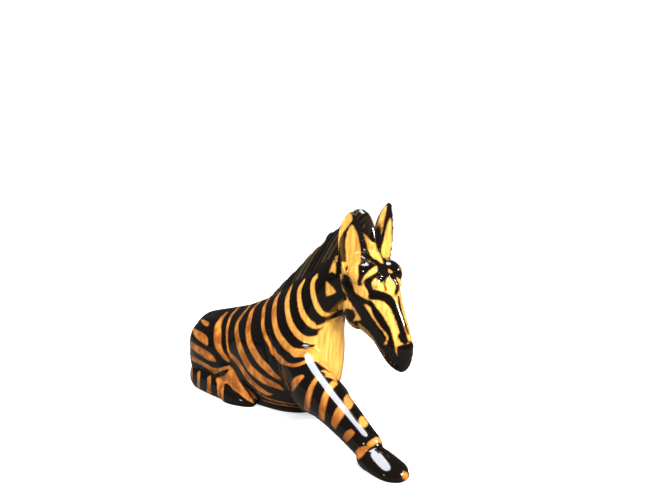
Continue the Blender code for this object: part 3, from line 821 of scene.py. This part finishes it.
# Where the paint has worn off the toe, and thin lines of bare wood low on the belly, painted highlights
# along its lower curve.
TOE_WOOD = [(403, 470.5), (407.5, 472), (410, 477), (407, 482), (402.5, 479), (401.5, 474)]
BELLY_HIGHLIGHT_LINES = [
    [(256, 391, 0.3), (268, 398.5, 0.5), (283, 402.5, 0.5), (299, 404.5, 0.3)],
    [(262, 400, 0.3), (276, 404, 0.45), (290, 406, 0.45), (300, 408, 0.3)],
]
# Rings of wood, laid where the photograph doesn't look: limb, places along it, half width.
UNSEEN_RINGS = [
    (STRETCHED_LEG, (3.3, 4.0, 5.1, 6.1, 7.2), 1.5),
    (FOLDED_FOREARM, (1.0, 1.8, 2.6), 1.2),
    (FOLDED_FORE_CANNON, (1.3, 2.0, 2.7), 1.2),
]
TAIL_RINGS = ((0.9, 1.6, 2.3, 3.0), 1.0)
MANE_HALF_WIDTH = 5.6
BAND_GAIN = 1.18  # the bands' width on the skin for that measured in the photograph


def mane_stroke():
    """A stroke along the middle of the mane, as wide as the mane stands high and a little over,
    that fades nowhere."""
    top_x, top_z, root_x, root_z = curve_through(MANE, 3).T[:4]
    half_width = np.hypot(top_x - root_x, top_z - root_z) / 2 + 1.0
    middle = ((top_x + root_x) / 2, 0 * top_x, (top_z + root_z) / 2)
    return np.stack([*middle, half_width, *np.zeros((3, len(top_x)))], axis=1)


def paint(obj):
    """The signed distance from the edge of the dark paint, above 0 inside it, at each point."""
    surface = Surface(obj)
    points, normals = points_of(obj), points_of(obj, "normal")
    flip = np.array((1.0, -1.0, 1.0))
    both = ((points, normals), (points * flip, normals * flip))
    views = []
    for place, facing in both:
        towards = np.array(CAMERA) - place
        towards /= np.linalg.norm(towards, axis=1, keepdims=True)
        views.append((in_photo(place), np.einsum("ij,ij->i", towards, facing)))
    dark = np.full(len(points), MOST_PAINT_DISTANCE)

    def lay(kind, inside):
        """Takes points inside a mark into the dark paint, or out of it into bare wood."""
        nonlocal dark
        dark = np.maximum(dark, inside) if kind == "dark" else np.minimum(dark, -inside)

    def brush(kind, stroke, sides=BOTH_SIDES):
        for side in sides:
            lay(kind, inside_stroke(*both[side], stroke))

    def fill(kind, outline, sides=BOTH_SIDES):
        for side in sides:
            lay(kind, inside_outline(*views[side], outline))

    def brush_unseen(kind, stroke, facing, turn):
        """Lays a stroke only where the skin faces the camera by less than the turn."""
        inside = inside_stroke(*both[0], stroke)
        lay(kind, inside - OUTLINE_FADE * np.clip(facing - turn, 0, 1))

    jaw = modelled_stroke(surface, JAW_UNDERSIDE)
    brush("wood", modelled_stroke(surface, FACE_FRONT), SEEN_SIDE)
    brush("dark", jaw, SEEN_SIDE)
    brush("wood", modelled_stroke(surface, THROAT), SEEN_SIDE)
    fill("wood", CHEST_WOOD, SEEN_SIDE)
    for band in TRUNK_BANDS:
        stroke = over_the_back(seen_stroke(surface, band))
        stroke[:, 3] *= BAND_GAIN
        brush("wood", stroke)
    for outline in HAUNCH_WOOD:
        fill("wood", outline)
    # The thin lines of bare wood on the belly are painted highlights along its lower curve
    for marks in HAUNCH_WOOD_STROKES + BELLY_HIGHLIGHT_LINES:
        brush("wood", seen_stroke(surface, marks))
    for marks in REAR_BANDS:
        brush("wood", modelled_stroke(surface, marks))
    for outline in LEG_WOOD + [TOE_WOOD]:
        fill("wood", outline, SEEN_SIDE)
    for kind, outline in LEG_TOP:
        fill(kind, outline, SEEN_SIDE)
    for table, places, half_width in UNSEEN_RINGS:
        for stroke in rings_round(surface, table, places, half_width):
            brush_unseen("wood", stroke, views[0][1], -UNSEEN_TURN)
    for stroke in rings_round(surface, TAIL, *TAIL_RINGS):
        brush("wood", stroke, SEEN_SIDE)
    for kind, outline in NEAR_HEAD:
        fill(kind, outline)
    for kind, outline in FAR_HEAD + EARS:
        fill(kind, outline, SEEN_SIDE)
    brush_unseen("dark", jaw, np.maximum(views[0][1], views[1][1]), JAW_TURN)
    within_mane = inside_stroke(*both[0], mane_stroke())
    lay("dark", np.minimum(within_mane, MANE_HALF_WIDTH - np.abs(points[:, 1])))
    fill("wood", FORELOCK, SEEN_SIDE)
    lay("wood", UNDERSIDE_BARE - points[:, 2])
    return np.clip(dark, -MOST_PAINT_DISTANCE, MOST_PAINT_DISTANCE)


def keep_on(obj, name, values):
    """Puts one number a point on the mesh, for its material to read."""
    layer = obj.data.attributes.new(name, "FLOAT", "POINT")
    layer.data.foreach_set("value", values.astype(np.float32))


def linear(hex_code):
    """A colour written as sRGB hex, in the linear values that Blender works in."""
    values = np.array([int(hex_code[k : k + 2], 16) for k in (1, 3, 5)]) / 255
    values = np.where(values <= 0.04045, values / 12.92, ((values + 0.055) / 1.055) ** 2.4)
    return (*values, 1.0)


def add(tree, kind, inputs=None, **settings):
    """Adds a node. Settings are its own properties, and inputs are values or (node, output)
    links. Sockets that share a name go by number: in Map Range, 1 to 4 are from low, from high,
    to low and to high, and in Mix, 6 and 7 are the two colours and 2 is the colour given out."""
    node = tree.nodes.new(kind)
    for name, value in settings.items():
        setattr(node, name, value)
    for name, value in (inputs or {}).items():
        if isinstance(value, tuple) and isinstance(value[0], bpy.types.Node):
            tree.links.new(value[0].outputs[value[1]], node.inputs[name])
        else:
            node.inputs[name].default_value = value
    return node


OF_COLOURS = {"data_type": "RGBA"}  # the setting of a Mix node that mixes colours

# Repeats in a metre: grain 1.7 mm apart and ten times as long, mottling 7 mm apart, and an
# edge of the paint that wavers every 1.7 mm. Real grain is finer than the render can show.
GRAIN_REPEATS = (600.0, 600.0, 60.0)
MOTTLE_REPEATS = 150.0
WAVER_REPEATS = 600.0
WAVER_WIDTH = 0.7  # millimetres from one side to the other


def varnished_painted_wood():
    """Amber softwood, hand-painted near-black and dipped in gloss varnish: the grain shows as
    fine streaks along the body, the paint's edge wavers a little, and the varnish over both
    gives small hard highlights."""
    material = bpy.data.materials.new("varnished_painted_wood")
    material.use_nodes = True
    tree = material.node_tree
    shader = tree.nodes["Principled BSDF"]
    place = add(tree, "ShaderNodeTexCoord")
    along_grain = add(tree, "ShaderNodeMapping", {"Vector": (place, "Object"), "Scale": GRAIN_REPEATS})
    streaks = add(
        tree, "ShaderNodeTexNoise", {"Vector": (along_grain, "Vector"), "Scale": 1.0, "Detail": 4.0}
    )
    broad = add(
        tree,
        "ShaderNodeTexNoise",
        {"Vector": (place, "Object"), "Scale": MOTTLE_REPEATS, "Detail": 3.0},
    )
    patchy = add(tree, "ShaderNodeMapRange", {0: (broad, "Fac"), 1: 0.4, 2: 0.6, 3: 0.0, 4: 1.0})
    stained = add(
        tree,
        "ShaderNodeMix",
        {0: (patchy, 0), 6: linear("#8E4E20"), 7: linear("#CF8436")},
        **OF_COLOURS,
    )
    # Painted light: the wood is paled towards light yellow where the lamps fall brightest
    painted_light_node = add(tree, "ShaderNodeAttribute", attribute_name="pale_wood")
    tone = add(
        tree, "ShaderNodeMix", {0: (painted_light_node, "Fac"), 6: (stained, 2), 7: linear("#F5BE5A")}, **OF_COLOURS
    )
    dark_grain = add(
        tree, "ShaderNodeMapRange", {0: (streaks, "Fac"), 1: 0.42, 2: 0.68, 3: 0.0, 4: 0.6}
    )
    wood = add(
        tree, "ShaderNodeMix", {0: (dark_grain, 0), 6: (tone, 2), 7: linear("#9A5A22")}, **OF_COLOURS
    )
    # The paint's edge, moved to and fro by up to a third of a millimetre
    distance = add(tree, "ShaderNodeAttribute", attribute_name="dark_paint")
    waver = add(
        tree,
        "ShaderNodeTexNoise",
        {"Vector": (place, "Object"), "Scale": WAVER_REPEATS, "Detail": 3.0},
    )
    shift = add(tree, "ShaderNodeMath", {0: (waver, "Fac"), 1: -0.5}, operation="ADD")
    moved = add(
        tree,
        "ShaderNodeMath",
        {0: (shift, 0), 1: WAVER_WIDTH, 2: (distance, "Fac")},
        operation="MULTIPLY_ADD",
    )
    # Wood that the thin rim of the paint darkens, then the paint itself, lightened on the strands'
    # crests by wear and a painted sheen
    thin = add(tree, "ShaderNodeMapRange", {0: (moved, 0), 1: -0.65, 2: -0.05, 3: 0.0, 4: 0.75})
    bordered = add(
        tree, "ShaderNodeMix", {0: (thin, 0), 6: (wood, 2), 7: linear("#7A4518")}, **OF_COLOURS
    )
    strand_wear_and_sheen = add(tree, "ShaderNodeAttribute", attribute_name="worn_strands")
    paint_tone = add(
        tree,
        "ShaderNodeMix",
        {0: (strand_wear_and_sheen, "Fac"), 6: linear("#0C0805"), 7: linear("#5E4C38")},
        **OF_COLOURS,
    )
    cover = add(tree, "ShaderNodeMapRange", {0: (moved, 0), 1: -0.15, 2: 0.2, 3: 0.0, 4: 1.0})
    colour = add(
        tree, "ShaderNodeMix", {0: (cover, 0), 6: (bordered, 2), 7: (paint_tone, 2)}, **OF_COLOURS
    )
    tree.links.new(colour.outputs[2], shader.inputs["Base Color"])
    shader.inputs["Roughness"].default_value = 0.5
    shader.inputs["Specular IOR Level"].default_value = 0.0
    shader.inputs["Coat Weight"].default_value = 1.0
    shader.inputs["Coat IOR"].default_value = 1.6
    shader.inputs["Coat Roughness"].default_value = 0.1
    bump = add(
        tree, "ShaderNodeBump", {"Height": (streaks, "Fac"), "Strength": 0.12, "Distance": 0.0002}
    )
    tree.links.new(bump.outputs["Normal"], shader.inputs["Normal"])
    return material


def white_paper():
    """Matt white paper, overexposed as in the photograph: it glows a little to the eye, and
    sends little of that back onto the figure."""
    material = bpy.data.materials.new("white_paper")
    material.use_nodes = True
    tree = material.node_tree
    path = add(tree, "ShaderNodeLightPath")
    place = add(tree, "ShaderNodeTexCoord")
    # Painted light: to the camera the paper glows, weakest near the figure and full far off, so lamp
    # shadows still show near it; to other rays it is a darker grey
    away = add(tree, "ShaderNodeVectorMath", {0: (place, "Object")}, operation="LENGTH")
    fade = add(tree, "ShaderNodeMapRange", {0: (away, "Value"), 1: 0.14, 2: 0.6, 3: 0.62, 4: 1.0})
    glow = add(tree, "ShaderNodeMath", {0: (path, "Is Camera Ray"), 1: (fade, 0)}, operation="MULTIPLY")
    shader = tree.nodes["Principled BSDF"]
    seen = add(
        tree,
        "ShaderNodeMix",
        {0: (path, "Is Camera Ray"), 6: linear("#4E4B47"), 7: linear("#DEDEDB")},
        **OF_COLOURS,
    )
    tree.links.new(seen.outputs[2], shader.inputs["Base Color"])
    shader.inputs["Roughness"].default_value = 0.9
    shader.inputs["Specular IOR Level"].default_value = 0.1
    shader.inputs["Emission Color"].default_value = (1, 1, 1, 1)
    tree.links.new(glow.outputs[0], shader.inputs["Emission Strength"])
    return material


def placed(points):
    """Millimetres of the carving's tables turned to metres over the origin."""
    return (np.array(points, float) - (*FOOTPRINT_MIDDLE, 0.0)) * MM


def area_light(name, where, towards, size, power, in_varnish=True, colour="#FFFFFF"):
    """A round soft lamp. One that isn't to show in the varnish only brightens the figure."""
    data = bpy.data.lights.new(name, "AREA")
    data.shape = "DISK"
    data.size = size
    data.energy = power
    data.color = linear(colour)[:3]
    lamp = bpy.data.objects.new(name, data)
    lamp.visible_glossy = in_varnish
    lamp.location = where
    lamp.rotation_euler = (Vector(towards) - Vector(where)).to_track_quat("-Z", "Y").to_euler()
    bpy.context.scene.collection.objects.link(lamp)


TABLE_SIZE = 8.0  # metres, so that its edge stays out of sight


def studio():
    """A white table and background, and soft lamps beside and above the camera."""
    bpy.ops.mesh.primitive_plane_add(size=TABLE_SIZE)
    floor = bpy.context.object
    floor.name = "white_table"
    floor.data.materials.append(white_paper())
    scene = bpy.context.scene
    world = bpy.data.worlds.new("studio")
    scene.world = world
    world.use_nodes = True
    tree = world.node_tree
    background = tree.nodes["Background"]
    path = add(tree, "ShaderNodeLightPath")
    strength = add(
        tree, "ShaderNodeMapRange", {0: (path, "Is Camera Ray"), 1: 0.0, 2: 1.0, 3: 0.06, 4: 1.1}
    )
    background.inputs["Color"].default_value = (1, 1, 1, 1)
    tree.links.new(strength.outputs[0], background.inputs["Strength"])
    middle = (0.0, 0.0, 0.04)  # of the figure, in metres, where every lamp is aimed
    area_light("window", (0.55, 0.55, 0.5), middle, 0.16, 7.0)
    area_light("ceiling", (-0.17, -0.09, 0.88), middle, 0.56, 11.5, colour="#F4F8FF")
    area_light("front", (0.9, -0.35, 0.35), middle, 0.35, 16.0, in_varnish=False)
    area_light("side", (-0.1, -1.0, 0.4), middle, 0.35, 6.0, in_varnish=False)
    area_light("glint", (0.1, -0.9, 0.45), middle, 0.12, 1.2)
    data = bpy.data.cameras.new("camera")
    data.lens = LENS
    data.sensor_width = SENSOR
    data.clip_start = 0.005
    camera = bpy.data.objects.new("camera", data)
    camera.location = placed(CAMERA)
    camera.rotation_euler = (math.radians(90.0), 0.0, CAMERA_TURN)
    scene.collection.objects.link(camera)
    scene.camera = camera
    scene.view_settings.view_transform = "Standard"


def rise(values, start, length):
    """0 up to the start, 1 from the start plus the length, and a straight line between."""
    return np.clip((values - start) / length, 0, 1)


def painted_light_share(x, z, facing_forward):
    """How much painted light pales the wood, 0 to 1, the most of three shares: a painted highlight
    where the chest and the legs face forward, towards the front lamp, on the brow, and up the front
    of the neck."""
    front = facing_forward * rise(x, 92, 30) * rise(z, 8, 20)
    brow = rise(x, 134, 4) * np.interp(z, (67, 75, 82, 87), (0.0, 1.0, 1.0, 0.4))
    neck = 0.75 * rise(x, 82, 28) * rise(z, 32, 22)
    return np.maximum.reduce([front, brow, neck])


def wear_and_sheen_share(x, y, z):
    """How far the mane's strands are lightened, 0 to 1, most along their crests: worn paint and a
    painted sheen.
    """
    crest = np.clip(strands(x, z) / STRAND_DEPTH + 0.1, 0, 1)
    on_mane = (z > np.interp(x, *mane_root_line()) - 1) & (np.abs(y) < MANE_HALF_WIDTH) & (x < 150)
    return crest * on_mane


def carve():
    """The whole figure, carved, painted and varnished, in its place in metres."""
    zebra = fused(forms())
    sand(zebra, blend=110, body=22, ears=12, fine=4)
    groove(zebra)
    thin_and_cut(zebra)
    keep_on(zebra, "dark_paint", paint(zebra))
    x, y, z = points_of(zebra).T
    # Painted light: paleness where the skin faces forward, towards the front lamp, and on brow and neck
    facing_forward = np.clip(points_of(zebra, "normal")[:, 0] * 1.5, 0, 1)
    keep_on(zebra, "pale_wood", painted_light_share(x, z, facing_forward))
    # Worn paint and a painted sheen along the crests of the mane's strands
    keep_on(zebra, "worn_strands", wear_and_sheen_share(x, y, z))
    zebra.data.vertices.foreach_set("co", placed(points_of(zebra)).ravel())
    zebra.data.update()
    zebra.data.materials.clear()
    zebra.data.materials.append(varnished_painted_wood())
    zebra.data.shade_smooth()
    return zebra


zebra = carve()
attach(zebra, "root")
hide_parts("zebra")
studio()
